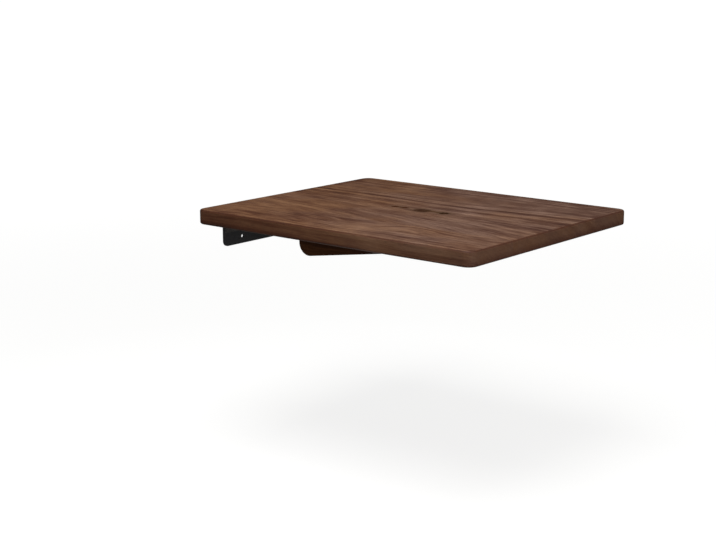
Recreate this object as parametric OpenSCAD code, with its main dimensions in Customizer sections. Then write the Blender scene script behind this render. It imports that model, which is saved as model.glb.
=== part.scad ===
// Floating nightstand: a solid walnut tabletop that hooks over the edge of a support and is braced from
// below by one tapered fin. The frame: X runs along the support, +Y points in over it, Z is up. The underside
// of the tabletop is Z = 0, and the origin is the centre of the strip of it that rests on the support.

/* [Tabletop] */
// Length of the tabletop, square to the support
top_len = 500; // [460:5:600]
// Width of the middle board
mid_board_w = 210; // [160:5:240]
// Width of each of the two side boards
side_board_w = 95; // [60:5:130]
// Thickness of the boards
top_t = 22; // [20:0.5:35]
// Radius of the four corners, seen from above
corner_r = 15; // [8:1:40]
// Radius of the rounded arrises, above and below
arris_r = 3; // [1:0.5:6]

/* [Support] */
// Thickness of the support that the hook goes over
support_t = 30; // [22:1:45]
// Play between the support and the two pads that hold it
grip_play = 1; // [0.5:0.5:3]

/* [Fin] */
// Thickness of the fin
fin_t = 18; // [16:1:30]
// Height of the fin at the support
fin_inner_h = 77; // [64:1:110]
// Height of the fin at its far end
fin_outer_h = 23; // [20:1:32]
// Length of the fin
fin_len = 350; // [280:5:400]
// Radius of the fin's lower corner at the support
fin_inner_r = 20; // [3:1:26]
// Radius of the fin's lower corner at its far end
fin_outer_r = 10; // [3:1:16]

/* [Hook plate] */
// Width of the hook plate
plate_w = 280; // [240:5:300]
// Thickness of the steel
plate_t = 3; // [2:0.5:4]
// How far the plate runs out past the support, under the tabletop
plate_reach = 30; // [24:1:40]
// How far the leg of the hook hangs below the tabletop
leg_drop = 45; // [40:1:70]
// Inside radius of the bend
bend_r = 2; // [1:0.5:2]
// Radius of the plate's corners
plate_corner_r = 8; // [3:1:12]
// Gap round the plate in its recess
recess_gap = 0.3; // [0.2:0.1:0.8]
// Gap between the plate and the fin, which stands in a notch of the plate
notch_gap = 1; // [1:0.5:3]
// Diameter of the holes in the leg for securing screws
leg_hole_d = 5.5; // [4:0.5:7]
// Distance between the holes in the leg
leg_hole_pitch = 200; // [120:5:220]
// Distance of these holes from the leg's lower edge
leg_hole_edge = 11; // [8:1:12]

/* [Plate screws] */
// Thread diameter of the screws
screw_d = 4.5; // [3.5:0.5:5]
// Head diameter of the screws
screw_head_d = 9; // [8:0.5:10]
// Length of the screws, with the head
screw_len = 16; // [12:1:18]
// Distance from the plate's ends to the outer screws
screw_end_gap = 15; // [10:1:16]
// Distance from the middle of the plate to the inner screws
screw_inner_x = 45; // [30:1:60]
// Distance from the plate's outer edge to the screws of the outer row
screw_edge_gap = 13; // [9:1:14]

/* [Fin bolts] */
// Thread diameter of the bolts
bolt_d = 5; // [4:1:6]
// Length of the bolts under the head
bolt_len = 30; // [28:1:31]
// Head diameter of the bolts
bolt_head_d = 9.5; // [8:0.5:10]
// Head height of the bolts
bolt_head_h = 2.8; // [2.4:0.1:4]
// Width of the hexagon socket, across its flats
socket_flats = 3; // [2:0.5:4]
// Depth of the hexagon socket
socket_depth = 1.6; // [1:0.1:2]
// Diameter of the washers
washer_d = 10; // [9:0.5:12]
// Thickness of the washers
washer_t = 1; // [0.8:0.1:1.6]
// Wood left in the fin between the washers and the tabletop
bolt_wood = 17; // [14:1:18]
// Distance from the fin's inner end to the first bolt
first_bolt_gap = 58; // [50:1:80]
// Distance from the fin's far end to the last bolt
last_bolt_gap = 30; // [24:1:50]

/* [Threaded inserts] */
// Outer diameter of the inserts
insert_d = 8; // [7:0.5:10]
// Length of the inserts
insert_len = 13; // [12:0.5:14]

/* [Dowels] */
// Diameter of the dowels
dowel_d = 8; // [6:1:10]
// Length of a dowel inside the fin
dowel_in_fin = 18; // [14:1:20]
// Length of a dowel inside the tabletop
dowel_in_top = 12; // [8:1:14]

/* [Pads] */
// Thickness of the felt pads
pad_t = 1.5; // [1:0.5:3]
// Height of the felt pad on the hook
hook_pad_h = 20; // [14:1:22]
// Distance from the felt pads to the edges of what carries them
pad_inset = 2; // [1:0.5:4]

/* [Fits] */
// Clearance all round a fastener or dowel in its hole
hole_gap = 0.1; // [0.1:0.05:0.4]
// Clearance all round a washer and a head in the counterbore
counterbore_gap = 0.5; // [0.3:0.1:1]
// Depth left free at the end of a blind hole
hole_spare = 1; // [0.5:0.5:2]

/* [Hidden] */
$fn = 96;
walnut = "#6b4a3a";
dark_walnut = "#4a3024";
beech = "#c9a77c";
brass = "#b39a5c";
zinc = "#a9abad";
black_steel = "#2b2b2d";
grey_felt = "#4d4a47";
// A cutter reaches this far past the face that it opens
cut = 1;

// The tabletop lies between these edges
top_w = mid_board_w + 2 * side_board_w;
inner_y = support_t / 2;
outer_y = inner_y - top_len;

// The support's outer face, the fin behind its pad, and the leg of the hook behind its own pad
support_face_y = -support_t / 2;
fin_inner_y = support_face_y - pad_t;
fin_outer_y = fin_inner_y - fin_len;
leg_y = inner_y + grip_play + pad_t;
plate_outer_y = support_face_y - plate_reach;
bend_outer_r = bend_r + plate_t;

// The fin's lower edge falls towards the support at this angle
fin_slope = atan((fin_inner_h - fin_outer_h) / fin_len);

// Centres of the fin's two rounded lower corners, as Y and Z, and how far they lie above the sharp corners
inner_corner_rise = fin_inner_r * (1 + sin(fin_slope)) / cos(fin_slope);
outer_corner_rise = fin_outer_r * (1 - sin(fin_slope)) / cos(fin_slope);
inner_corner = [fin_inner_y - fin_inner_r, -fin_inner_h + inner_corner_rise];
outer_corner = [fin_outer_y + fin_outer_r, -fin_outer_h + outer_corner_rise];

// The screws have a 90 degree head and a blunt tip
screw_head_h = (screw_head_d - screw_d) / 2;
screw_tip_d = 1;

// Places of the fasteners
screw_xs = [-plate_w / 2 + screw_end_gap, -screw_inner_x, screw_inner_x, plate_w / 2 - screw_end_gap];
screw_ys = [0, plate_outer_y + screw_edge_gap];
first_bolt_y = fin_inner_y - first_bolt_gap;
last_bolt_y = fin_outer_y + last_bolt_gap;
bolt_ys = [first_bolt_y, (first_bolt_y + last_bolt_y) / 2, last_bolt_y];
dowel_ys = [for (i = [0, 1]) (bolt_ys[i] + bolt_ys[i + 1]) / 2];
leg_hole_xs = [-leg_hole_pitch / 2, leg_hole_pitch / 2];
leg_hole_z = -leg_drop + leg_hole_edge;

// Outline of a board seen from its end, from 0 to len, with its arrises rounded at the ends asked for
module board_profile(len, round_start, round_end) {
    start = round_start ? arris_r : 0;
    end = len - (round_end ? arris_r : 0);
    translate([start, 0])
        square([end - start, top_t]);
    translate([0, arris_r])
        square([len, top_t - 2 * arris_r]);
    for (u = concat(round_start ? [start] : [], round_end ? [end] : []))
        for (v = [arris_r, top_t - arris_r])
            translate([u, v])
                circle(r = arris_r);
}

// A length of tabletop between two places along X, with both ends of the boards rounded
module board_span(x0, x1) {
    translate([x0, outer_y, 0])
        rotate([90, 0, 90])
            linear_extrude(x1 - x0)
                board_profile(top_len, true, true);
}

// The rounded side of the tabletop on the +X side, with its two corners
module board_side() {
    side_x = top_w / 2 - corner_r;
    corner_ys = [inner_y - corner_r, outer_y + corner_r];
    translate([side_x, corner_ys[0], 0])
        rotate([90, 0, 0])
            linear_extrude(corner_ys[0] - corner_ys[1])
                board_profile(corner_r, false, true);
    for (i = [0, 1])
        translate([side_x, corner_ys[i], 0])
            rotate([0, 0, -90 * i])
                rotate_extrude(angle = 90)
                    board_profile(corner_r, false, true);
}

// What is cut from the underside: the recess for the hook plate, and the holes for screws, inserts and dowels
module underside_cuts() {
    translate([0, 0, -cut])
        linear_extrude(plate_t + cut)
            flange_outline(recess_gap, inner_y + cut);
    for (x = screw_xs, y = screw_ys)
        translate([x, y, 0])
            cylinder(d = screw_d + 2 * hole_gap, h = screw_len + hole_spare);
    for (y = bolt_ys)
        translate([0, y, -cut])
            cylinder(d = insert_d + 2 * hole_gap, h = insert_len + cut + hole_spare);
    for (y = dowel_ys)
        translate([0, y, -cut])
            cylinder(d = dowel_d + 2 * hole_gap, h = dowel_in_top + cut + hole_spare);
}

module board_near() {
    mirror([1, 0, 0])
        board_far();
}

module board_middle() {
    color(walnut)
        difference() {
            board_span(-mid_board_w / 2, mid_board_w / 2);
            underside_cuts();
        }
}

module board_far() {
    color(walnut)
        difference() {
            union() {
                board_span(mid_board_w / 2, top_w / 2 - corner_r);
                board_side();
            }
            underside_cuts();
        }
}

// Side of the fin, with Y to the right and Z up: two rounded lower corners joined by the sloping lower edge
module fin_outline() {
    down = [-sin(fin_slope), -cos(fin_slope)];
    polygon([
        [fin_outer_y, 0], [fin_outer_y, outer_corner[1]],
        outer_corner, outer_corner + fin_outer_r * down,
        inner_corner + fin_inner_r * down, inner_corner,
        [fin_inner_y, inner_corner[1]], [fin_inner_y, 0]
    ]);
    translate(inner_corner)
        rotate(90)
            circle(r = fin_inner_r);
    translate(outer_corner)
        rotate(90)
            circle(r = fin_outer_r);
}

module support_fin() {
    color(dark_walnut)
        difference() {
            translate([-fin_t / 2, 0, 0])
                rotate([90, 0, 90])
                    linear_extrude(fin_t)
                        fin_outline();
            for (y = bolt_ys) {
                translate([0, y, -bolt_wood - cut])
                    cylinder(d = bolt_d + 2 * hole_gap, h = bolt_wood + 2 * cut);
                translate([0, y, -bolt_wood - fin_inner_h])
                    cylinder(d = washer_d + 2 * counterbore_gap, h = fin_inner_h);
            }
            for (y = dowel_ys)
                translate([0, y, -dowel_in_fin - hole_spare])
                    cylinder(d = dowel_d + 2 * hole_gap, h = dowel_in_fin + hole_spare + cut);
        }
}

module fin_dowels() {
    color(beech)
        for (y = dowel_ys)
            translate([0, y, -dowel_in_fin])
                cylinder(d = dowel_d, h = dowel_in_fin + dowel_in_top);
}

module threaded_inserts() {
    color(brass)
        for (y = bolt_ys)
            translate([0, y, 0])
                difference() {
                    cylinder(d = insert_d, h = insert_len);
                    translate([0, 0, -cut])
                        cylinder(d = bolt_d + 2 * hole_gap, h = insert_len + 2 * cut);
                }
}

module fin_bolts() {
    head_z = -bolt_wood - washer_t - bolt_head_h;
    color(zinc)
        for (y = bolt_ys)
            translate([0, y, head_z])
                difference() {
                    union() {
                        cylinder(d = bolt_head_d, h = bolt_head_h);
                        cylinder(d = bolt_d, h = bolt_head_h + bolt_len);
                    }
                    translate([0, 0, -cut])
                        cylinder(d = socket_flats / cos(30), h = socket_depth + cut, $fn = 6);
                }
}

module bolt_washers() {
    color(zinc)
        for (y = bolt_ys)
            translate([0, y, -bolt_wood - washer_t])
                difference() {
                    cylinder(d = washer_d, h = washer_t);
                    translate([0, 0, -cut])
                        cylinder(d = bolt_d + 2 * hole_gap, h = washer_t + 2 * cut);
                }
}

// The flat part of the hook plate seen from above, out to a given Y on the inner side, larger by a margin all
// round. Its notch leaves the fin's top on the wood of the tabletop.
module flange_outline(margin, end_y) {
    r = plate_corner_r + margin;
    x = plate_w / 2 + margin;
    y = plate_outer_y - margin;
    notch_x = fin_t / 2 + notch_gap - margin;
    difference() {
        union() {
            translate([-x, y + r])
                square([2 * x, end_y - y - r]);
            translate([-x + r, y])
                square([2 * (x - r), end_y - y]);
            for (side = [-1, 1])
                translate([side * (x - r), y + r])
                    circle(r = r);
        }
        translate([-notch_x, y - cut])
            square([2 * notch_x, support_face_y - margin - y + cut]);
    }
}

// The leg of the hook, seen from the support, with its two lower corners rounded
module leg_outline() {
    x = plate_w / 2;
    r = plate_corner_r;
    translate([-x, -leg_drop + r])
        square([2 * x, leg_drop - r - bend_r]);
    translate([-x + r, -leg_drop])
        square([2 * (x - r), leg_drop - bend_r]);
    for (side = [-1, 1])
        translate([side * (x - r), -leg_drop + r])
            circle(r = r);
}

module hook_plate() {
    bend_y = leg_y - bend_r;
    color(black_steel)
        difference() {
            union() {
                linear_extrude(plate_t)
                    flange_outline(0, bend_y);
                translate([-plate_w / 2, bend_y, -bend_r])
                    rotate([90, 0, 90])
                        linear_extrude(plate_w)
                            intersection() {
                                difference() {
                                    circle(r = bend_outer_r);
                                    circle(r = bend_r);
                                }
                                square(bend_outer_r);
                            }
                translate([0, leg_y + plate_t, 0])
                    rotate([90, 0, 0])
                        linear_extrude(plate_t)
                            leg_outline();
            }
            for (x = screw_xs, y = screw_ys)
                translate([x, y, 0])
                    countersunk_hole();
            for (x = leg_hole_xs)
                translate([x, leg_y + plate_t + cut, leg_hole_z])
                    rotate([90, 0, 0])
                        cylinder(d = leg_hole_d, h = plate_t + 2 * cut);
        }
}

// A hole for a screw that points up, with its 90 degree countersink at Z = 0
module countersunk_hole() {
    translate([0, 0, -cut])
        cylinder(
            d1 = screw_head_d + 2 * hole_gap + 2 * cut,
            d2 = screw_d + 2 * hole_gap,
            h = screw_head_h + cut
        );
    cylinder(d = screw_d + 2 * hole_gap, h = plate_t + cut);
}

module plate_screws() {
    color(zinc)
        for (x = screw_xs, y = screw_ys)
            translate([x, y, 0]) {
                cylinder(d1 = screw_head_d, d2 = screw_d, h = screw_head_h);
                cylinder(d = screw_d, h = screw_len - screw_d);
                translate([0, 0, screw_len - screw_d])
                    cylinder(d1 = screw_d, d2 = screw_tip_d, h = screw_d);
            }
}

module fin_pad() {
    color(grey_felt)
        translate([-fin_t / 2 + pad_inset, fin_inner_y, inner_corner[1] + pad_inset])
            cube([fin_t - 2 * pad_inset, pad_t, -inner_corner[1] - 2 * pad_inset]);
}

module hook_pad() {
    color(grey_felt)
        translate([-plate_w / 2 + pad_inset, leg_y - pad_t, -bend_r - pad_inset - hook_pad_h])
            cube([plate_w - 2 * pad_inset, pad_t, hook_pad_h]);
}

board_near();
board_middle();
board_far();
support_fin();
fin_dowels();
threaded_inserts();
fin_bolts();
bolt_washers();
hook_plate();
plate_screws();
fin_pad();
hook_pad();
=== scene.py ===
import math

import bmesh
import bpy
import numpy as np
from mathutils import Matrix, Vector


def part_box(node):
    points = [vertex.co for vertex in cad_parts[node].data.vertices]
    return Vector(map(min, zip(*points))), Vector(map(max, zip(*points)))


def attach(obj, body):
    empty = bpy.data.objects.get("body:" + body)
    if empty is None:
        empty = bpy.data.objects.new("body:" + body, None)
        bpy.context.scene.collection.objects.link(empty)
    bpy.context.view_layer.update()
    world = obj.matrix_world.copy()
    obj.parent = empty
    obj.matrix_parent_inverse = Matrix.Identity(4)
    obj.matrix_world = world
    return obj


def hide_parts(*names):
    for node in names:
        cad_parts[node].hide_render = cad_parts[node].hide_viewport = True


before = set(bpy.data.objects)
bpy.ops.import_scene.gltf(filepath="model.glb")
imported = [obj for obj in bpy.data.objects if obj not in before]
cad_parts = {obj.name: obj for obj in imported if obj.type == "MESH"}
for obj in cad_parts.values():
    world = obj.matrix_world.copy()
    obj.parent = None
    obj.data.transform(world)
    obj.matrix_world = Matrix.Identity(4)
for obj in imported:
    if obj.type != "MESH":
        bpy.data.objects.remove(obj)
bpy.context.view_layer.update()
BODY = "root"

# Sizes of the part, in millimetres
MM = 0.001
TOP_T = 22.0
OUTER_Y, INNER_Y = -485.0, 15.0
GLUE_X, EDGE_X = 105.0, 200.0
CORNER_R, ARRIS_R = 15.0, 3.0
FIN_HALF, FIN_EASE = 9.0, 1.6
FIN_Y0, FIN_Y1 = -16.5, -366.5
FIN_H0, FIN_H1 = 77.0, 23.0
FIN_R0, FIN_R1 = 20.0, 10.0
BOLT_YS = (-74.5, -205.5, -336.5)
DOWEL_YS = (-140.0, -271.0)
BOLT_Z, WASHER_Z, DOWEL_Z = -20.8, -18.0, -18.0
PLATE_X, PLATE_Y, PLATE_T, PLATE_R = 140.0, -45.0, 3.0, 8.0
PLATE_EASE = 0.35
NOTCH_X, NOTCH_Y = 10.0, -15.0
RECESS_GAP, HOLE_GAP = 0.3, 0.1
SCREW_XS, SCREW_YS = (-125.0, -45.0, 45.0, 125.0), (0.0, -32.0)

# Radii of the holes in the wood, and the heights where they end. A cutter reaches PAST the face that it opens
BORE_R, BORE_Z = 5.5, -17.0
BOLT_HOLE_R = 2.6
SCREW_HOLE_R, SCREW_HOLE_Z = 2.35, 17.0
INSERT_R, INSERT_HOLE_Z = 4.0, 14.0
DOWEL_R, DOWEL_HOLE_Z = 4.0, 13.0
PAST = 1.0

# The studio, in metres
FLOOR_Z, FLOOR_HALF = -0.36, 40.0

# Sockets of a mix by number, because they share their names
FACTOR, NUMBER_A, NUMBER_B, COLOUR_A, COLOUR_B, MIXED = 0, 2, 3, 6, 7, 2
WHITE = (1.0, 1.0, 1.0, 1.0)

# The wood. Pores are dark dashes a few tenths of a millimetre wide; they are drawn 0.7 mm wide, so that they
# show
PORE_WIDTH, PORE_LENGTH, PORE_DEPTH = 0.7, 11.0, 0.45
WARMTH = (1.08, 0.94, 0.66, 1.0)
TOP_TONES = [(0.0, "#2a150c"), (0.28, "#47281b"), (0.5, "#634739"), (0.72, "#795d4e"), (1.0, "#947666")]
# The fin's tones are darker than the boards', which is painted shade
FIN_SHADED_TONES = [(0.0, "#21120a"), (0.35, "#371e11"), (0.6, "#472b1a"), (1.0, "#5e3d29")]
PORE_TONE, HALO_TONE, CORE_TONE = "#2a1710", "#594534", "#5a3a28"


def linear(hex_colour):
    """A colour written as sRGB hex, as the linear values that a socket takes."""
    parts = [int(hex_colour[i:i + 2], 16) / 255 for i in (1, 3, 5)]
    return [c / 12.92 if c <= 0.04045 else ((c + 0.055) / 1.055) ** 2.4 for c in parts] + [1.0]


def node(tree, kind, inputs=None, out=0, stops=None, **settings):
    """Adds one node, gives it its settings, links or fills its inputs, and returns one of its outputs."""
    made = tree.nodes.new("ShaderNode" + kind)
    for key, value in settings.items():
        setattr(made, key, value)
    for key, value in (inputs or {}).items():
        if isinstance(value, bpy.types.NodeSocket):
            tree.links.new(value, made.inputs[key])
        else:
            made.inputs[key].default_value = value
    if stops:
        ramp = made.color_ramp.elements
        while len(ramp) < len(stops):
            ramp.new(0.5)
        for element, (position, colour) in zip(ramp, stops):
            element.position, element.color = position, linear(colour)
    return made.outputs[out] if len(made.outputs) else made


def calc(tree, operation, *values):
    """One step of arithmetic on numbers."""
    return node(tree, "Math", dict(enumerate(values)), operation=operation)


def calc_vector(tree, operation, *values, out=0):
    """One step of arithmetic on vectors."""
    return node(tree, "VectorMath", dict(enumerate(values)), out=out, operation=operation)


def remap(tree, value, low, high, to_low=0.0, to_high=1.0):
    """Brings a number from one range into another, and holds it there."""
    return node(tree, "MapRange", {"Value": value, "From Min": low, "From Max": high, "To Min": to_low,
                                   "To Max": to_high})


def tint(tree, share, colour, other, **settings):
    """Mixes a share of another colour into a colour."""
    return node(tree, "Mix", {FACTOR: share, COLOUR_A: colour, COLOUR_B: other}, out=MIXED, data_type="RGBA",
                **settings)


def noise(tree, place, detail, scale=1.0, out=0):
    """Noise over a place, even in all directions."""
    return node(tree, "TexNoise", {"Vector": place, "Scale": scale, "Detail": detail}, out=out)


def line_noise(tree, number, scale, detail, roughness=0.5):
    """Noise over a single number."""
    return node(tree, "TexNoise", {"W": number, "Scale": scale, "Detail": detail, "Roughness": roughness},
                noise_dimensions="1D")


def drawn_out(tree, mm, shift, width, length, detail):
    """Noise round zero over the wood, with one size across the boards and another along them."""
    place = node(tree, "Mapping", {"Vector": mm, "Location": shift,
                                   "Scale": (1 / width, 1 / length, 1 / width)})
    return calc(tree, "SUBTRACT", noise(tree, place, detail), 0.5)


def from_centre(tree, mm, x, y, half_x, half_y):
    """The way from a centre in the plan, in its half widths. It has no part in the thickness."""
    scale, shift = (1 / half_x, 1 / half_y, 0.0), (-x / half_x, -y / half_y, 0.0)
    return calc_vector(tree, "MULTIPLY_ADD", mm, scale, shift)


def fall_off(tree, squared):
    """exp(-r * r), from the square of r."""
    return calc(tree, "POWER", math.exp(-1), squared)


def bell(tree, mm, x, y, half_x, half_y):
    """A number that is 1 at a centre in the plan and falls to 1/e at its half widths."""
    place = from_centre(tree, mm, x, y, half_x, half_y)
    return fall_off(tree, calc_vector(tree, "DOT_PRODUCT", place, place, out="Value"))


def material(name):
    """An empty material and its node tree."""
    mat = bpy.data.materials.new(name)
    mat.use_nodes = True
    mat.node_tree.nodes.clear()
    return mat, mat.node_tree


def finish_material(tree, inputs):
    """Closes a material with one surface shader."""
    shader = node(tree, "BsdfPrincipled", inputs)
    node(tree, "OutputMaterial", {"Surface": shader})


def across_rings(t, mm, part, seed, tilt, wander, fan, swirls, knots):
    """The coordinate across the rings, in millimetres, which the whole figure follows."""
    across = calc_vector(t, "DOT_PRODUCT", mm, (1.0, 0.0, tilt), out="Value")

    # The slow wander of the rings, and their small ripples
    for number, (width, length, reach) in enumerate(wander):
        drift = drawn_out(t, mm, (seed, 7.3 * number, 1.7 * seed), width, length, 1.0)
        across = calc(t, "MULTIPLY_ADD", drift, reach, across)

    # The lines fan out: their slope grows with the distance from one line that stays straight
    if fan:
        slope, fan_x, fan_y = fan
        turn = calc(t, "MULTIPLY", calc(t, "ADD", part["X"], -fan_x), calc(t, "ADD", part["Y"], -fan_y))
        across = calc(t, "MULTIPLY_ADD", turn, slope, across)

    # Swirls and dips
    for *place, lift in swirls:
        across = calc(t, "MULTIPLY_ADD", bell(t, mm, *place), lift, across)

    # The grain spreads to pass round a knot
    for x, y, half_x, half_y, *_ in knots:
        near = bell(t, mm, x, y, 1.5 * half_x, 1.8 * half_y)
        spread = calc(t, "MULTIPLY", near, calc(t, "ADD", part["X"], -x))
        across = calc(t, "MULTIPLY_ADD", spread, -0.75, across)
    return across


def ring_lines(t, across, seed, spacing, rings, calm):
    """The tone of the rings over the coordinate across them."""
    # Rings are narrow on one side of the heart line and wide on the other, and change over within 10 mm of it
    narrow, wide = 1 / spacing[0], 1 / spacing[1]
    bent = calc(t, "SQRT", calc(t, "MULTIPLY_ADD", across, across, 10.0 ** 2))
    bent = calc(t, "MULTIPLY", bent, (narrow - wide) / 2)
    count = calc(t, "MULTIPLY_ADD", across, (narrow + wide) / 2, bent)
    count = calc(t, "ADD", count, seed)
    count = calc(t, "MULTIPLY_ADD", line_noise(t, count, 0.6, 1.0), 1.6, count)

    # A ring darkens slowly to its late wood and ends there; some rings are stronger than others
    late = calc(t, "POWER", calc(t, "FRACT", count), 2.2)
    force = remap(t, line_noise(t, count, 0.45, 0.0), 0.3, 0.7, 0.25 * rings, rings)
    late = calc(t, "MULTIPLY", calc(t, "SUBTRACT", late, 0.3), force)
    value = calc(t, "SUBTRACT", line_noise(t, count, 1.9, 3.0, roughness=0.6), late)

    # The lines are calmer where the rings are wide
    share = remap(t, across, -15.0, 25.0, *calm)
    return calc(t, "MULTIPLY_ADD", calc(t, "SUBTRACT", value, 0.5), share, 0.5)


def follow_grain(t, across, part, width, length):
    """A place that counts widths across the rings and lengths along the boards."""
    return node(t, "CombineXYZ", {0: calc(t, "DIVIDE", across, width),
                                  1: calc(t, "DIVIDE", part["Y"], length),
                                  2: calc(t, "DIVIDE", part["Z"], width)})


def edge_tone(t, value, part, broad):
    """The tone with the edges darkened, and the share that belongs to an edge. The edges are cut across the
    rings, so their lines are faint. Painted shade darkens them further: on both arrises, most of all the
    upper one, and towards the underside and the inner end."""
    turned_to = node(t, "SeparateXYZ", {0: node(t, "TexCoord", out="Normal")}).node.outputs
    facing = calc(t, "ABSOLUTE", turned_to[broad])
    edge = remap(t, facing, 0.995, 0.89)
    contrast = calc(t, "MULTIPLY_ADD", calc(t, "ABSOLUTE", turned_to["X"]), 0.15, 0.22)
    # Painted shade: the edges grow darker towards the underside
    low = remap(t, part["Z"], 2.0, 12.0, 0.28, 0.47)
    # Painted shade: the edges grow darker towards the inner end
    inner = remap(t, part["Y"], -290.0, -130.0, 0.0, -0.078)
    quiet = calc(t, "MULTIPLY_ADD", calc(t, "SUBTRACT", value, 0.5), contrast, low)
    quiet = calc(t, "ADD", quiet, inner)
    # Painted shade on the arrises, deepest on the upper one
    arris = remap(t, facing, 0.1, 0.6)
    depth = remap(t, part["Z"], 2.0, 12.0, -0.04, -0.22)
    quiet = calc(t, "MULTIPLY_ADD", arris, depth, quiet)
    return node(t, "Mix", {FACTOR: edge, NUMBER_A: value, NUMBER_B: quiet}), edge


def knot_marks(t, mm, colour, shine, knots):
    """The colour and the shine with the knots in them: a grey-brown halo, a dark ring with an uneven rim, and
    a lighter core, broken up by strands of the grain. Their end grain has no shine."""
    fray = calc_vector(t, "SUBTRACT", noise(t, mm, 3.0, 0.22, out="Color"), (0.5, 0.5, 0.5))
    ragged = calc_vector(t, "MULTIPLY_ADD", fray, (5.0, 10.0, 5.0), mm)
    strands = node(t, "Mapping", {"Vector": mm, "Scale": (1 / 1.4, 1 / 9.0, 1.0)})
    strands = remap(t, noise(t, strands, 2.0), 0.35, 0.58, 0.6, 1.05)
    for *place, depth, heart in knots:
        away = calc_vector(t, "LENGTH", from_centre(t, ragged, *place), out="Value")
        shine = calc(t, "MULTIPLY", remap(t, away, 0.8, 1.6), shine)
        for outer, inner, strength, tone in ((2.2, 1.0, 0.5, HALO_TONE), (1.2, 0.8, 1.0, heart),
                                             (0.5, 0.1, 0.15, CORE_TONE)):
            share = calc(t, "MULTIPLY", remap(t, away, outer, inner, 0.0, strength * depth), strands)
            colour = tint(t, share, colour, linear(tone))
    return colour, shine


def walnut(name, seed, tilt, spacing, stops, rings, streaks, clouds, wander, fan=None, calm=(1.0, 1.0),
           bands=(), swirls=(), patches=(), knots=(), shine=0.3, broad="Z"):
    """Oiled walnut as a solid pattern, with its sizes in millimetres. The arguments:
    tilt is how far the rings lean, spacing their width on the two sides of the heart line, rings the depth of
    their late wood, and calm the strength of the lines on the two sides.
    wander, streaks and clouds are noises, each (width, length, reach or strength).
    fan is the slope per millimetre, with the x and y of the line that stays straight.
    bands are (place, half width, lift), and swirls and patches (x, y, half width, half length, lift).
    knots are (x, y, half width, half length, depth, tone of the heart).
    broad is the axis that the board's broad faces are square to."""
    mat, t = material(name)
    here = node(t, "TexCoord", out="Object")
    mm = node(t, "VectorMath", {0: here, "Scale": 1 / MM}, operation="SCALE")
    part = node(t, "SeparateXYZ", {0: mm}).node.outputs
    across = across_rings(t, mm, part, seed, tilt, wander, fan, swirls, knots)
    value = ring_lines(t, across, seed, spacing, rings, calm)

    # The broad dark and light bands of several years, placed by where they meet the top
    for place, half, lift in bands:
        away = calc(t, "MULTIPLY_ADD", across, 1 / half, -(place + tilt * TOP_T) / half)
        value = calc(t, "MULTIPLY_ADD", fall_off(t, calc(t, "MULTIPLY", away, away)), lift, value)

    # Streaks that follow the rings and break up along them, in two sizes
    for width, length, strength in streaks:
        streak = noise(t, follow_grain(t, across, part, width, length), 2.0)
        value = calc(t, "MULTIPLY_ADD", calc(t, "SUBTRACT", streak, 0.5), strength, value)

    # Light and dark clouds in the wood, longer than wide
    for width, length, strength in clouds:
        cloud = drawn_out(t, mm, (3 * seed, seed, 5.0), width, length, 2.0)
        value = calc(t, "MULTIPLY_ADD", cloud, strength, value)

    # Lighter and darker patches
    for *place, lift in patches:
        value = calc(t, "MULTIPLY_ADD", bell(t, mm, *place), lift, value)

    value, edge = edge_tone(t, value, part, broad)
    colour = node(t, "ValToRGB", {0: value}, stops=stops)

    # The heartwood is warmer in clouds and towards the near side. Towards the inner end it grows warmer and
    # deeper still, which is painted shade
    place = node(t, "Mapping", {"Vector": mm, "Location": (-seed, 2 * seed, 3.0),
                                "Scale": (0.02, 0.01, 0.02)})
    red = noise(t, place, 2.0)
    share = remap(t, part["Y"], -300.0, -80.0, -0.85, 0.0)
    share = calc(t, "MULTIPLY_ADD", red, 2.0, share)
    side = calc(t, "MULTIPLY", part["X"], -0.0016)
    side = node(t, "Mix", {FACTOR: edge, NUMBER_A: side, NUMBER_B: 0.5})
    colour = tint(t, calc(t, "ADD", share, side), colour, WARMTH, blend_type="MULTIPLY")

    pore = noise(t, follow_grain(t, across, part, PORE_WIDTH, PORE_LENGTH), 1.0)
    pore = remap(t, pore, 0.56, 0.72)
    colour = tint(t, calc(t, "MULTIPLY", pore, PORE_DEPTH), colour, linear(PORE_TONE))
    if knots:
        colour, shine = knot_marks(t, mm, colour, shine, knots)

    # The oil leaves the wood matt, and matter still in the open pores
    rough = node(t, "MapRange", {"Value": pore, "To Min": 0.56, "To Max": 0.8})
    relief = calc(t, "MULTIPLY_ADD", pore, -1.0, value)
    bump = node(t, "Bump", {"Strength": 0.25, "Distance": 0.00015, "Height": relief})
    finish_material(t, {"Base Color": colour, "Roughness": rough, "IOR": 1.45, "Specular IOR Level": shine,
                        "Normal": bump})
    return mat


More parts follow.
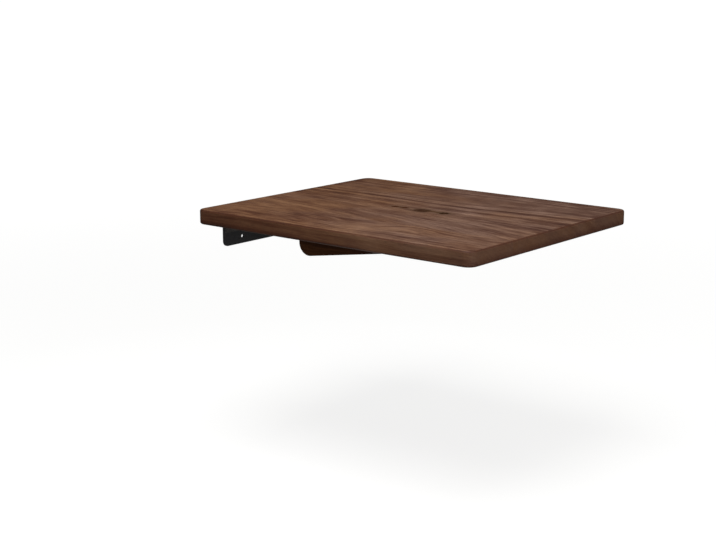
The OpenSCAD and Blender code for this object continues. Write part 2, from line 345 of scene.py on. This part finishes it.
def plain_parts():
    """The materials of the metal parts, the dowels and the pads."""
    made = {}

    # Powder coating melts into a fine orange peel: black, with a broad dull shine broken up by the peel
    mat, t = material("powder_coated_steel")
    here = node(t, "TexCoord", out="Object")
    peel = noise(t, here, 2.0, 1 / (0.9 * MM))
    tone = noise(t, here, 3.0, 1 / (40 * MM))
    colour = node(t, "ValToRGB", {0: tone}, stops=[(0.3, "#1d1d1f"), (0.7, "#252527")])
    rough = node(t, "MapRange", {"Value": tone, "To Min": 0.42, "To Max": 0.62})
    bump = node(t, "Bump", {"Strength": 0.4, "Distance": 0.00008, "Height": peel})
    finish_material(t, {"Base Color": colour, "Roughness": rough, "IOR": 1.5, "Normal": bump})
    made["black_steel"] = mat

    # Zinc plating, blue passivated: a pale grey metal with faint cloudy stains
    mat, t = material("zinc_plated_steel")
    here = node(t, "TexCoord", out="Object")
    stain = noise(t, here, 3.0, 1 / (3 * MM))
    colour = node(t, "ValToRGB", {0: stain}, stops=[(0.3, "#a4a6a6"), (0.55, "#b9bcbf"), (0.8, "#c4c2b8")])
    rough = node(t, "MapRange", {"Value": stain, "To Min": 0.28, "To Max": 0.48})
    finish_material(t, {"Base Color": colour, "Metallic": 1.0, "Roughness": rough})
    made["zinc_steel"] = mat

    # Brass turned on a lathe: yellow metal with fine rings round its axis
    mat, t = material("turned_brass")
    here = node(t, "TexCoord", out="Object")
    rings = node(t, "Mapping", {"Vector": here, "Scale": (0.0, 0.0, 1 / (0.25 * MM))})
    rings = noise(t, rings, 2.0)
    colour = node(t, "ValToRGB", {0: rings}, stops=[(0.3, "#a88c4e"), (0.7, "#c9ad6c")])
    rough = node(t, "MapRange", {"Value": rings, "To Min": 0.22, "To Max": 0.42})
    finish_material(t, {"Base Color": colour, "Metallic": 1.0, "Roughness": rough})
    made["brass"] = mat

    # Bare beech, planed and fluted: pale, even wood with short brown flecks along the grain
    mat, t = material("bare_beech")
    here = node(t, "TexCoord", out="Object")
    grain = node(t, "Mapping", {"Vector": here, "Scale": (1 / (0.5 * MM), 1 / (0.5 * MM), 1 / (4 * MM))})
    grain = noise(t, grain, 3.0)
    colour = node(t, "ValToRGB", {0: grain}, stops=[(0.3, "#b58a62"), (0.5, "#cfa982"), (0.75, "#dcb991")])
    rough = node(t, "MapRange", {"Value": grain, "To Min": 0.6, "To Max": 0.75})
    finish_material(t, {"Base Color": colour, "Roughness": rough, "IOR": 1.5})
    made["beech"] = mat

    # Pressed wool felt: grey with lighter and darker fibres, a rough face and a faint nap
    mat, t = material("pressed_wool_felt")
    here = node(t, "TexCoord", out="Object")
    fibre = node(t, "TexNoise", {"Vector": here, "Scale": 1 / (0.6 * MM), "Detail": 4.0, "Distortion": 2.0})
    patch = noise(t, here, 2.0, 1 / (6 * MM))
    mixed = calc(t, "MULTIPLY_ADD", patch, 0.5, fibre)
    colour = node(t, "ValToRGB", {0: mixed}, stops=[(0.45, "#2b2927"), (0.75, "#35322f"), (1.0, "#4a4642")])
    bump = node(t, "Bump", {"Strength": 0.7, "Distance": 0.0003, "Height": fibre})
    finish_material(t, {"Base Color": colour, "Roughness": 0.95, "IOR": 1.45, "Sheen Weight": 0.3,
                        "Sheen Roughness": 0.5, "Normal": bump})
    made["felt"] = mat
    return made


def grid_faces(rows, cols, close_rows=False, close_cols=False):
    """Quads of a grid of points kept row by row. A closed side joins its last line to its first."""
    r = np.arange(rows if close_rows else rows - 1)[:, None]
    c = np.arange(cols if close_cols else cols - 1)[None, :]
    r2, c2 = (r + 1) % rows, (c + 1) % cols
    return np.stack([r * cols + c, r * cols + c2, r2 * cols + c2, r2 * cols + c], -1).reshape(-1, 4).tolist()


def make(name, parts):
    """One mesh object from one or more (points in millimetres, faces), with doubles merged and normals
    outwards."""
    points, faces, start = [], [], 0
    for some_points, some_faces in parts:
        points.append(np.asarray(some_points, float).reshape(-1, 3))
        faces += [[start + i for i in face] for face in some_faces]
        start += len(points[-1])
    mesh = bpy.data.meshes.new(name)
    mesh.from_pydata((np.concatenate(points) * MM).tolist(), [], faces)
    obj = bpy.data.objects.new(name, mesh)
    bpy.context.scene.collection.objects.link(obj)
    clean(obj)
    return obj


def clean(obj):
    """Merges doubles and points the faces outwards."""
    form = bmesh.new()
    form.from_mesh(obj.data)
    bmesh.ops.remove_doubles(form, verts=form.verts, dist=1e-6)
    bmesh.ops.recalc_face_normals(form, faces=form.faces)
    form.to_mesh(obj.data)
    form.free()


def settle(obj):
    """Turns an object's modifiers into its mesh."""
    bpy.context.view_layer.update()
    graph = bpy.context.evaluated_depsgraph_get()
    obj.data = bpy.data.meshes.new_from_object(obj.evaluated_get(graph))
    obj.modifiers.clear()


def cut(obj, cutters):
    """Takes the volumes of the cutters out of a piece, one after the other, and removes them."""
    for cutter in cutters:
        step = obj.modifiers.new("cut", "BOOLEAN")
        step.object, step.operation, step.solver = cutter, "DIFFERENCE", "EXACT"
    settle(obj)
    for cutter in cutters:
        bpy.data.objects.remove(cutter)


def dress(obj, mat, nodes, sharp=35.0):
    """Gives a piece its material, its smooth faces and its body, and hides the nodes that it stands for."""
    obj.data.materials.clear()
    obj.data.materials.append(mat)
    obj.data.shade_smooth()
    obj.data.set_sharp_from_angle(angle=math.radians(sharp))
    even = obj.modifiers.new("flat_faces_stay_flat", "WEIGHTED_NORMAL")
    even.keep_sharp = True
    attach(obj, BODY)
    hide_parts(*nodes)
    return obj


def arc(centre, radius, start, end, steps=14):
    """Points of an arc and the outward directions at them, from one angle to another in degrees."""
    a = np.radians(np.linspace(start, end, steps))
    out = np.stack([np.cos(a), np.sin(a)], -1)
    return np.asarray(centre) + radius * out, out


def straight(start, end, out):
    """The two ends of a straight edge, both facing the same way."""
    return np.array([start, end], float), np.array([out, out], float)


def eased_slab(edges, low, high, ease, steps=9):
    """A flat form with rounded arrises. A profile of two quarter circles and a straight is carried along the
    path: each point lies ease * (1 - cos a) inside the path and ease * sin a beyond the profile's straight.
    The last place joins the first by a flat face, and a flat face closes each side."""
    path = np.concatenate([e[0] for e in edges])
    out = np.concatenate([e[1] for e in edges])
    a = np.radians(np.linspace(90, 0, steps))
    inside = ease * (1 - np.cos(np.concatenate([a, -a[::-1]])))
    height = np.concatenate([high - ease + ease * np.sin(a), low + ease - ease * np.sin(a[::-1])])
    plan = path[:, None] - out[:, None] * inside[None, :, None]
    points = np.concatenate([plan, np.broadcast_to(height[None, :, None], plan.shape[:2] + (1,))], -1)
    rows, cols = points.shape[:2]
    faces = grid_faces(rows, cols, close_rows=True)
    faces.append([r * cols for r in range(rows)])
    faces.append([r * cols + cols - 1 for r in reversed(range(rows))])
    return points.reshape(-1, 3), faces


def block(outline, low, high):
    """A straight prism over a plan outline, for cutting."""
    outline = np.asarray(outline, float)
    rows = len(outline)
    points = np.stack([np.column_stack([outline, np.full(rows, z)]) for z in (low, high)], 1)
    faces = grid_faces(rows, 2, close_rows=True)
    faces.append([2 * r for r in range(rows)])
    faces.append([2 * r + 1 for r in reversed(range(rows))])
    return points.reshape(-1, 3), faces


def ring(radius, sides=64):
    """Points round a circle."""
    a = np.linspace(0, 2 * np.pi, sides, endpoint=False)
    return radius * np.stack([np.cos(a), np.sin(a)], -1)


def underside_cutters():
    """The recess that takes the hook plate, and the holes for screws, inserts and dowels above it."""
    x, y, r = PLATE_X + RECESS_GAP, PLATE_Y - RECESS_GAP, PLATE_R + RECESS_GAP
    notch_x, notch_y, end_y = NOTCH_X - RECESS_GAP, NOTCH_Y - RECESS_GAP, INNER_Y + PAST
    outline = np.concatenate([
        arc((-x + r, y + r), r, 180, 270)[0],
        [(-notch_x, y), (-notch_x, notch_y), (notch_x, notch_y), (notch_x, y)],
        arc((x - r, y + r), r, 270, 360)[0],
        [(x, end_y), (-x, end_y)]])
    holes = [(ring(SCREW_HOLE_R) + (sx, sy), PLATE_T - 0.5, SCREW_HOLE_Z)
             for sx in SCREW_XS for sy in SCREW_YS]
    holes += [(ring(INSERT_R + HOLE_GAP) + (0, by), -PAST, INSERT_HOLE_Z) for by in BOLT_YS]
    holes += [(ring(DOWEL_R + HOLE_GAP) + (0, dy), -PAST, DOWEL_HOLE_Z) for dy in DOWEL_YS]
    return [make("recess_cutter", [block(outline, -PAST, PLATE_T)]),
            make("hole_cutter", [block(*hole) for hole in holes])]


def side_board(side):
    """The path of a side board: along the outer end, round its corner, in along the side, round, and back."""
    x, y0, y1 = EDGE_X - CORNER_R, OUTER_Y + CORNER_R, INNER_Y - CORNER_R
    edges = [straight((GLUE_X, OUTER_Y), (x, OUTER_Y), (0, -1)), arc((x, y0), CORNER_R, -90, 0),
             arc((x, y1), CORNER_R, 0, 90), straight((x, INNER_Y), (GLUE_X, INNER_Y), (0, 1))]
    points, faces = eased_slab(edges, 0.0, TOP_T, ARRIS_R)
    return points * (side, 1, 1), faces


def middle_board():
    """The path of the middle board: along its outer end, then back along its inner end."""
    edges = [straight((-GLUE_X, OUTER_Y), (GLUE_X, OUTER_Y), (0, -1)),
             straight((GLUE_X, INNER_Y), (-GLUE_X, INNER_Y), (0, 1))]
    return eased_slab(edges, 0.0, TOP_T, ARRIS_R)


def fin():
    """The path of the fin in its own plane: down its inner end, round, up the sloping edge, round, and up to
    the top. No point reaches below the node's box."""
    slope = math.atan((FIN_H0 - FIN_H1) / (FIN_Y0 - FIN_Y1))
    z0 = -FIN_H0 + FIN_R0 * (1 + math.sin(slope)) / math.cos(slope)
    z1 = -FIN_H1 + FIN_R1 * (1 - math.sin(slope)) / math.cos(slope)
    down = -90 - math.degrees(slope)
    edges = [straight((FIN_Y0, 0), (FIN_Y0, z0), (1, 0)),
             arc((FIN_Y0 - FIN_R0, z0), FIN_R0, 0, down, 28),
             arc((FIN_Y1 + FIN_R1, z1), FIN_R1, down, -180, 20),
             straight((FIN_Y1, z1), (FIN_Y1, 0), (-1, 0))]
    points, faces = eased_slab(edges, -FIN_HALF, FIN_HALF, FIN_EASE)
    points = points[:, [2, 0, 1]]
    points[:, 2] = np.maximum(points[:, 2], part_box("support_fin")[0][2] / MM)
    return points, faces


def turned(radius, height, sides, closed=False):
    """A turned form: radius and height, given per profile point or per profile point and angle, are carried
    once round the Z axis. A closed profile makes a ring, and an open one starts and ends on the axis."""
    a = np.linspace(0, 2 * np.pi, sides, endpoint=False)[None, :]
    radius = np.broadcast_to(np.atleast_2d(radius.T).T, (len(radius), sides))
    height = np.broadcast_to(np.atleast_2d(height.T).T, (len(height), sides))
    points = np.stack([radius * np.cos(a), radius * np.sin(a), height], -1)
    return points, grid_faces(len(points), sides, close_rows=closed, close_cols=True)


def thread(height, sides, pitch):
    """Depth of a thread from 0 at its root to 1 at its crest: a triangle wave of height / pitch - turn."""
    a = np.linspace(0, 1, sides, endpoint=False)[None, :]
    return 1 - np.abs(2 * ((height[:, None] / pitch - a) % 1) - 1)


def plate_screw():
    """A countersunk screw that points up. Its face is a height over radius and angle, with four wings sunk
    into it, and its shank is a core with a coarse thread that runs out at the point."""
    sides, head_r, shank_r, wing, reach, depth = 96, 4.4, 2.25, 0.55, 2.3, 1.9
    pitch, start, tip = 1.8, 2.6, 16.0
    a = np.linspace(0, 2 * np.pi, sides, endpoint=False)[None, :]
    face_r = np.concatenate([np.linspace(0, 2.6, 34), np.linspace(2.75, head_r - 0.15, 5)])[:, None]
    x, y = np.abs(face_r * np.cos(a)), np.abs(face_r * np.sin(a))
    narrow = np.minimum(x, y) / wing
    inside = np.clip((1.15 - narrow) / 0.3, 0, 1) * np.clip((reach - face_r) / 0.2, 0, 1)
    face_z = inside * depth * (1 - 0.5 * face_r / reach)
    rim_r = np.array([head_r - 0.04, head_r, head_r])
    rim_z = np.array([0.03, 0.1, 0.25])
    cone_r = np.linspace(head_r, shank_r, 8)[1:]
    cone_z = rim_z[-1] + np.linspace(0, head_r - shank_r, 8)[1:]
    head = np.stack([np.concatenate([rim_r, cone_r]), np.concatenate([rim_z, cone_z])])
    head = np.broadcast_to(head[:, :, None], head.shape + (sides,))
    z = np.linspace(start, tip - 0.3, 76)
    taper = np.clip((tip - 0.1 - z) / 4.5, 0, 1)
    core = 0.25 + 1.3 * taper ** 0.8
    crest = core[:, None] + (0.2 + 0.5 * taper[:, None]) * thread(z, sides, pitch) ** 1.5
    radius = np.concatenate([np.broadcast_to(face_r, face_z.shape), head[0], crest, np.zeros((1, sides))])
    height = np.concatenate([face_z, head[1], np.broadcast_to(z[:, None], crest.shape),
                             np.full((1, sides), tip)])
    return turned(radius, height, sides)


def fin_bolt():
    """A button head bolt that points up. The head's face is a height over radius and angle: a low dome with a
    hexagon sunk into it. The shank has a fine thread."""
    sides, head_r, head_h, shank_r, flats, depth = 72, 4.75, 2.8, 2.5, 3.0, 1.6
    length, pitch, thread_h = 30.0, 0.8, 0.42
    a = np.linspace(0, 2 * np.pi, sides, endpoint=False)[None, :]
    face_r = np.concatenate([np.linspace(0, 2.1, 22), np.linspace(2.25, head_r, 16)])[:, None]
    hexagon = np.max([np.abs(face_r * np.cos(a - k * np.pi / 3)) for k in range(3)], 0)
    dome = 1.9 * np.clip((face_r - 2.0) / (head_r - 2.0), 0, 1) ** 2.2
    inside = np.clip((flats / 2 + 0.06 - hexagon) / 0.12, 0, 1)
    face_z = np.maximum(dome, inside * (depth + 0.15 * (1 - hexagon / flats)))
    seat = np.array([(head_r, head_r - 0.1, shank_r + 0.1), (head_h - 0.12, head_h, head_h)])
    seat = np.broadcast_to(seat[:, :, None], seat.shape + (sides,))
    z = np.linspace(head_h + 0.2, head_h + length - 0.6, 260)
    crest = shank_r - thread_h + thread_h * thread(z, sides, pitch)
    radius = np.concatenate([np.broadcast_to(face_r, face_z.shape), seat[0], crest, np.full((1, sides), 1.8),
                             np.zeros((1, sides))])
    height = np.concatenate([face_z, seat[1], np.broadcast_to(z[:, None], crest.shape),
                             np.full((2, sides), head_h + length)])
    return turned(radius, height, sides)


def washer():
    """A stamped washer: a rounded rectangle carried round the axis."""
    half, middle, t, r = 1.2, 3.8, 1.0, 0.2
    corners = [((middle + sx * (half - r), t / 2 + sz * (t / 2 - r)), start)
               for sx, sz, start in ((1, 1, 0), (-1, 1, 90), (-1, -1, 180), (1, -1, 270))]
    profile = np.concatenate([arc(c, r, start, start + 90, 5)[0] for c, start in corners])
    return turned(profile[:, 0], profile[:, 1], 64, closed=True)


def insert():
    """A brass insert: a coarse outer thread and a fine inner one, joined by flat ends."""
    sides, length = 64, 13.0
    z = np.linspace(0.3, length - 0.3, 110)
    run = np.clip(np.minimum(z, length - z) / 1.2, 0, 1)[:, None]
    outer = 3.3 + 0.7 * run * thread(z, sides, 2.6) ** 1.5
    inner = 2.6 + 0.25 * (1 - thread(z[::-1], sides, 0.8))
    outer_end, inner_end = np.full((1, sides), 3.1), np.full((1, sides), 2.9)
    radius = np.concatenate([outer_end, outer, outer_end, inner_end, inner, inner_end])
    height = np.concatenate([[0.0], z, [length, length], z[::-1], [0.0]])
    return turned(radius, height, sides, closed=True)


def dowel():
    """A fluted dowel: a bar with shallow grooves along it, less deep towards its chamfered ends."""
    sides, length, r, flutes = 96, 30.0, DOWEL_R, 16
    a = np.linspace(0, 2 * np.pi, sides, endpoint=False)[None, :]
    z = np.array([0.0, 0.0, 1.2, 2.0, 6.0, 15.0, 24.0, 28.0, 28.8, 30.0, 30.0])
    bar = np.array([0.0, r - 0.8, r - 0.05, r, r, r, r, r, r - 0.05, r - 0.8, 0.0])[:, None]
    flute = 0.28 * np.clip(np.minimum(z, length - z) / 2, 0, 1)[:, None] * np.clip(np.cos(flutes * a), 0, 1)
    return turned(np.maximum(bar - flute, 0), z, sides)


def felt_pad(node_name):
    """A die-cut pad: outlines that shrink from the edge to the middle of each face. The back is flat, and the
    front is crowned by a sixth power of the distance from the middle and is a little uneven."""
    low, high = (np.array(corner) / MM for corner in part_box(node_name))
    middle, half = (low + high) / 2, (high - low) / 2
    thick, corner, steps, rings = 2 * half[1], 2.0, 10, 14
    turns = [arc((sx * (half[0] - corner), sz * (half[2] - corner)), corner, start, start + 90, steps)[0]
             for sx, sz, start in ((1, 1, 0), (-1, 1, 90), (-1, -1, 180), (1, -1, 270))]
    edge = np.concatenate([np.concatenate([turn, np.linspace(turn[-1], turns[(i + 1) % 4][0], 24)[1:-1]])
                           for i, turn in enumerate(turns)])
    inwards = np.linspace(0.995, 0.0, rings)
    shrink = np.concatenate([[0.0, 0.5, 0.98, 1.0, 1.0, 1.0], inwards ** 0.8])[:, None]
    level = np.concatenate([[0.0, 0.0, 0.0, 0.08, 0.45, 0.72], 1 - 0.16 * inwards ** 6])[:, None]
    front = np.concatenate([np.zeros(6), np.ones(rings)])[:, None]
    x = shrink * edge[None, :, 0]
    z = shrink * edge[None, :, 1]
    wave = 0.03 * front * (np.sin(0.61 * x + 1.3) * np.cos(0.83 * z) + np.sin(1.7 * x - 0.4 * z) - 1.2)
    y = thick * (level + wave)
    return middle, thick, np.stack([x, y, z], -1)


def build_wood():
    """The walnut of the three boards and of the fin."""
    wander = ((70.0, 320.0, 22.0), (16.0, 120.0, 3.5))
    near = walnut(
        "oiled_walnut_near_board", seed=129.41, tilt=1.3, spacing=(16.0, 16.0), stops=TOP_TONES, rings=0.35,
        streaks=((3.0, 60.0, 0.8), (1.3, 35.0, 0.7)), clouds=((40.0, 120.0, 0.4), (20.0, 40.0, 0.4)),
        wander=wander, fan=(0.0012, -190.0, -240.0), calm=(0.55, 1.0),
        swirls=((-112.0, -325.0, 38.0, 52.0, -17.0), (-142.0, -228.0, 38.0, 52.0, 20.0),
                (-165.0, -60.0, 28.0, 65.0, -16.0)),
        patches=((-135.0, -285.0, 22.0, 40.0, 0.12), (-178.0, -80.0, 28.0, 80.0, -0.12),
                 (-150.0, -165.0, 45.0, 35.0, -0.07), (-160.0, -400.0, 50.0, 50.0, 0.07),
                 (-112.0, -255.0, 25.0, 30.0, 0.07), (-110.0, -45.0, 22.0, 50.0, 0.07),
                 # The strip at x = -206 is painted light: the near side lighter towards the outer end
                 (-206.0, -400.0, 10.0, 75.0, 0.15), (-152.0, -255.0, 22.0, 28.0, 0.09),
                 (-152.0, -22.0, 20.0, 20.0, 0.08), (-196.0, -25.0, 14.0, 35.0, -0.1),
                 # The thin strip at x = -201 is a painted highlight along the near upper arris
                 (-201.0, -318.0, 3.0, 34.0, 0.3), (-190.0, -313.0, 9.0, 18.0, -0.13),
                 (-191.0, -253.0, 9.0, 16.0, 0.08), (-191.0, -115.0, 9.0, 30.0, -0.07)))
    middle = walnut(
        "oiled_walnut_middle_board", seed=29.4, tilt=1.1, spacing=(12.5, 26.0), stops=TOP_TONES, rings=0.25,
        streaks=((3.0, 70.0, 0.8), (1.3, 35.0, 0.7)), clouds=((45.0, 150.0, 0.3), (20.0, 40.0, 0.4)),
        wander=((70.0, 320.0, 6.0), (16.0, 120.0, 2.5)), fan=(0.00148, 60.0, -260.0), calm=(0.45, 0.65),
        bands=((87.0, 5.0, 0.14), (71.0, 5.0, -0.13), (59.0, 4.5, 0.18), (44.5, 4.5, -0.14),
               (25.0, 7.0, 0.1), (4.0, 5.0, -0.12), (-17.0, 8.0, 0.05), (-58.0, 6.0, 0.08)),
        swirls=((60.0, -258.0, 60.0, 120.0, 13.0), (-2.0, -270.0, 16.0, 42.0, 10.0)),
        patches=((35.0, -40.0, 28.0, 45.0, -0.12), (-70.0, -340.0, 35.0, 35.0, 0.12),
                 (-70.0, -180.0, 30.0, 28.0, -0.07), (-20.0, -470.0, 35.0, 25.0, -0.11),
                 (105.0, -455.0, 30.0, 35.0, -0.1), (85.0, -290.0, 30.0, 30.0, 0.07),
                 (5.0, -365.0, 20.0, 35.0, 0.08), (-90.0, -45.0, 20.0, 50.0, 0.08),
                 (-92.0, -250.0, 20.0, 30.0, 0.09), (-42.0, -75.0, 22.0, 25.0, -0.07),
                 (10.0, -455.0, 16.0, 28.0, -0.08),
                 (-48.0, -238.0, 6.0, 42.0, -0.12), (-6.0, -50.0, 8.0, 45.0, -0.1),
                 (30.0, 12.0, 30.0, 14.0, -0.14), (85.0, 12.0, 30.0, 14.0, -0.14),
                 (15.0, -430.0, 4.0, 45.0, -0.12), (0.5, -425.0, 5.0, 45.0, 0.12),
                 (-22.0, -425.0, 5.0, 45.0, -0.1), (20.0, -325.0, 4.0, 40.0, 0.1)),
        knots=((1.5, -292.0, 7.0, 9.5, 1.0, "#190a03"), (0.5, -254.5, 10.5, 14.5, 0.95, "#2a1810"),
               (3.0, -273.0, 3.0, 12.0, 0.8, "#3f2a1c"), (4.0, -217.0, 4.2, 8.5, 1.0, "#33170d"),
               (3.0, -202.0, 5.0, 6.5, 1.0, "#33170d")))
    far = walnut(
        "oiled_walnut_far_board", seed=51.32, tilt=0.9, spacing=(15.0, 15.0), stops=TOP_TONES, rings=0.2,
        streaks=((3.0, 60.0, 0.6), (1.3, 35.0, 0.6)), clouds=((45.0, 110.0, 0.35), (20.0, 40.0, 0.4)),
        wander=wander, calm=(0.85, 0.85),
        patches=((140.0, -450.0, 50.0, 40.0, -0.11), (168.0, -262.0, 35.0, 28.0, -0.1),
                 (190.0, -50.0, 22.0, 55.0, 0.12), (165.0, -135.0, 35.0, 22.0, 0.07),
                 (202.0, -410.0, 15.0, 80.0, -0.17), (202.0, -270.0, 14.0, 60.0, -0.09),
                 (112.0, -425.0, 16.0, 45.0, -0.07), (130.0, 12.0, 35.0, 14.0, -0.15),
                 (175.0, 12.0, 30.0, 14.0, -0.12), (184.0, -205.0, 9.0, 30.0, 0.14),
                 (184.0, -325.0, 9.0, 25.0, 0.1), (184.0, -435.0, 9.0, 12.0, 0.1),
                 (118.0, -484.0, 26.0, 14.0, -0.16)))
    # The fin is the same walnut, darkened as painted shade
    fin_wood = walnut(
        "oiled_walnut_fin", seed=41.0, tilt=0.35, spacing=(14.0, 14.0), stops=FIN_SHADED_TONES, rings=0.35,
        streaks=((3.0, 60.0, 0.6), (1.3, 35.0, 0.5)), clouds=((40.0, 120.0, 0.4),), wander=wander, shine=0.1,
        broad="X")
    return near, middle, far, fin_wood


def build_pieces():
    """Makes every piece that is seen and the fasteners inside, and puts each in the place of its node."""
    near, middle, far, fin_wood = build_wood()
    for name, mat, shape, node_name in (("tabletop_near_board", near, side_board(-1), "board_near"),
                                        ("tabletop_middle_board", middle, middle_board(), "board_middle"),
                                        ("tabletop_far_board", far, side_board(1), "board_far")):
        board = make(name, [shape])
        cut(board, underside_cutters())
        dress(board, mat, [node_name])

    board = make("fin", [fin()])
    below = -FIN_H0 - 13.0
    bores = [block(ring(BORE_R) + (0, y), below, BORE_Z) for y in BOLT_YS]
    holes = [block(ring(BOLT_HOLE_R) + (0, y), BORE_Z - PAST, PAST) for y in BOLT_YS]
    holes += [block(ring(DOWEL_R + HOLE_GAP) + (0, y), DOWEL_Z - PAST, PAST) for y in DOWEL_YS]
    cut(board, [make("bore_cutter", bores), make("bolt_hole_cutter", holes)])
    dress(board, fin_wood, ["support_fin"])

    metal = plain_parts()
    screw_places = [(x, y, 0) for x in SCREW_XS for y in SCREW_YS]
    bolt_places, washer_places, insert_places = ([(0, y, z) for y in BOLT_YS] for z in (BOLT_Z, WASHER_Z, 0))
    dowel_places = [(0, y, DOWEL_Z) for y in DOWEL_YS]
    for name, shape, places, slot, node_name in (
            ("countersunk_plate_screws", plate_screw(), screw_places, "zinc_steel", "plate_screws"),
            ("button_head_bolts", fin_bolt(), bolt_places, "zinc_steel", "fin_bolts"),
            ("stamped_washers", washer(), washer_places, "zinc_steel", "bolt_washers"),
            ("brass_inserts", insert(), insert_places, "brass", "threaded_inserts"),
            ("fluted_dowels", dowel(), dowel_places, "beech", "fin_dowels")):
        piece = make(name, [(shape[0] + np.array(place, float), shape[1]) for place in places])
        dress(piece, metal[slot], [node_name])

    # The hook plate keeps the shape of its node, with the edges of cut and bent steel broken
    plate = bpy.data.objects.new("bent_hook_plate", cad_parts["hook_plate"].data.copy())
    bpy.context.scene.collection.objects.link(plate)
    form = bmesh.new()
    form.from_mesh(plate.data)
    bmesh.ops.remove_doubles(form, verts=form.verts, dist=1e-6)
    bmesh.ops.dissolve_limit(form, angle_limit=math.radians(0.5), verts=form.verts, edges=form.edges)
    form.to_mesh(plate.data)
    form.free()
    edge = plate.modifiers.new("broken_edges", "BEVEL")
    edge.width, edge.segments = PLATE_EASE * MM, 2
    edge.limit_method, edge.angle_limit = "ANGLE", math.radians(40)
    settle(plate)
    dress(plate, metal["black_steel"], ["hook_plate"])

    for name, node_name, facing in (("felt_fin_pad", "fin_pad", 1), ("felt_hook_pad", "hook_pad", -1)):
        middle_point, thick, points = felt_pad(node_name)
        points = points * (1, facing, 1) + middle_point - (0, facing * thick / 2, 0)
        pad = make(name, [(points, grid_faces(points.shape[0], points.shape[1], close_cols=True))])
        dress(pad, metal["felt"], [node_name], sharp=60.0)


def seen_directly(tree):
    """1 for a camera ray or one that came through something, and 0 for any other."""
    path = node(tree, "LightPath").node.outputs
    return calc(tree, "MAXIMUM", path["Is Camera Ray"], path["Is Transmission Ray"])


def build_stage():
    """A plain pale floor, soft light from above, and a camera where the photograph was taken from."""
    corners = np.array([(-1, -1, 0), (1, -1, 0), (1, 1, 0), (-1, 1, 0)], float)
    floor = make("floor", [(corners * FLOOR_HALF / MM + (0, 0, FLOOR_Z / MM), [(0, 1, 2, 3)])])
    if floor.data.polygons[0].normal.z < 0:
        floor.data.flip_normals()

    # The floor is painted a pale grey. A camera ray sees it brighter with distance, up to the white behind
    # it, and sees nothing of it from below
    mat, t = material("painted_studio_floor")
    seen = seen_directly(t)
    paint = node(t, "BsdfDiffuse", {"Color": linear("#929290")})
    away = calc_vector(t, "LENGTH", node(t, "TexCoord", out="Object"), out="Value")
    glow = remap(t, away, 0.8, 3.0, 0.8, 0.97)
    glow = node(t, "Emission", {"Color": WHITE, "Strength": glow})
    both = node(t, "AddShader", {0: paint, 1: glow})
    shown = node(t, "MixShader", {0: seen, 1: paint, 2: both})
    back = node(t, "NewGeometry", out="Backfacing")
    shown = node(t, "MixShader", {0: back, 1: shown, 2: node(t, "BsdfTransparent")})
    node(t, "OutputMaterial", {"Surface": shown})
    floor.data.materials.append(mat)

    # The studio behind is white to the camera. Its own light comes from the outer end's side and fades to
    # none on the opposite side
    scene = bpy.context.scene
    scene.view_settings.view_transform = "Standard"
    world = bpy.data.worlds.new("studio")
    scene.world = world
    world.use_nodes = True
    t = world.node_tree
    t.nodes.clear()
    seen = seen_directly(t)
    around = node(t, "TexCoord", out="Generated")
    toward = calc_vector(t, "DOT_PRODUCT", around, (-0.25, -0.97, 0.0), out="Value")
    level = remap(t, toward, -1.0, 1.0, 0.0, 0.52)
    plain = node(t, "Background", {"Color": WHITE, "Strength": level})
    white = node(t, "Background", {"Color": WHITE, "Strength": 1.0})
    node(t, "OutputWorld", {"Surface": node(t, "MixShader", {0: seen, 1: plain, 2: white})})

    # Lamps: place and aim in metres, width in metres and power in watts
    for name, place, aim, width, watts in (
            ("softbox_above", (-0.6, -0.42, 1.4), (0.0, -0.24, 0.0), 1.0, 25.7),
            ("softbox_outer_end", (-0.5, -2.3, 0.45), (0.0, -0.3, 0.0), 0.8, 10.0),
            ("fill_from_floor", (0.0, -0.24, -0.35), (0.0, -0.24, 0.0), 0.6, 0.75)):
        lamp = bpy.data.lights.new(name, "AREA")
        lamp.shape, lamp.size, lamp.energy = "SQUARE", width, watts
        holder = bpy.data.objects.new(name, lamp)
        scene.collection.objects.link(holder)
        holder.location = place
        holder.visible_camera = False
        holder.rotation_euler = (Vector(aim) - Vector(place)).to_track_quat("-Z", "Y").to_euler()

    lens = bpy.data.cameras.new("camera")
    lens.sensor_width, lens.lens, lens.shift_x = 36.0, 70.84, -0.03645
    camera = bpy.data.objects.new("camera", lens)
    scene.collection.objects.link(camera)
    camera.location = (-1.6277, -1.4930, 0.3850)
    camera.rotation_euler = [math.radians(angle) for angle in (77.520, 0.0, -51.161)]
    scene.camera = camera


build_pieces()
build_stage()
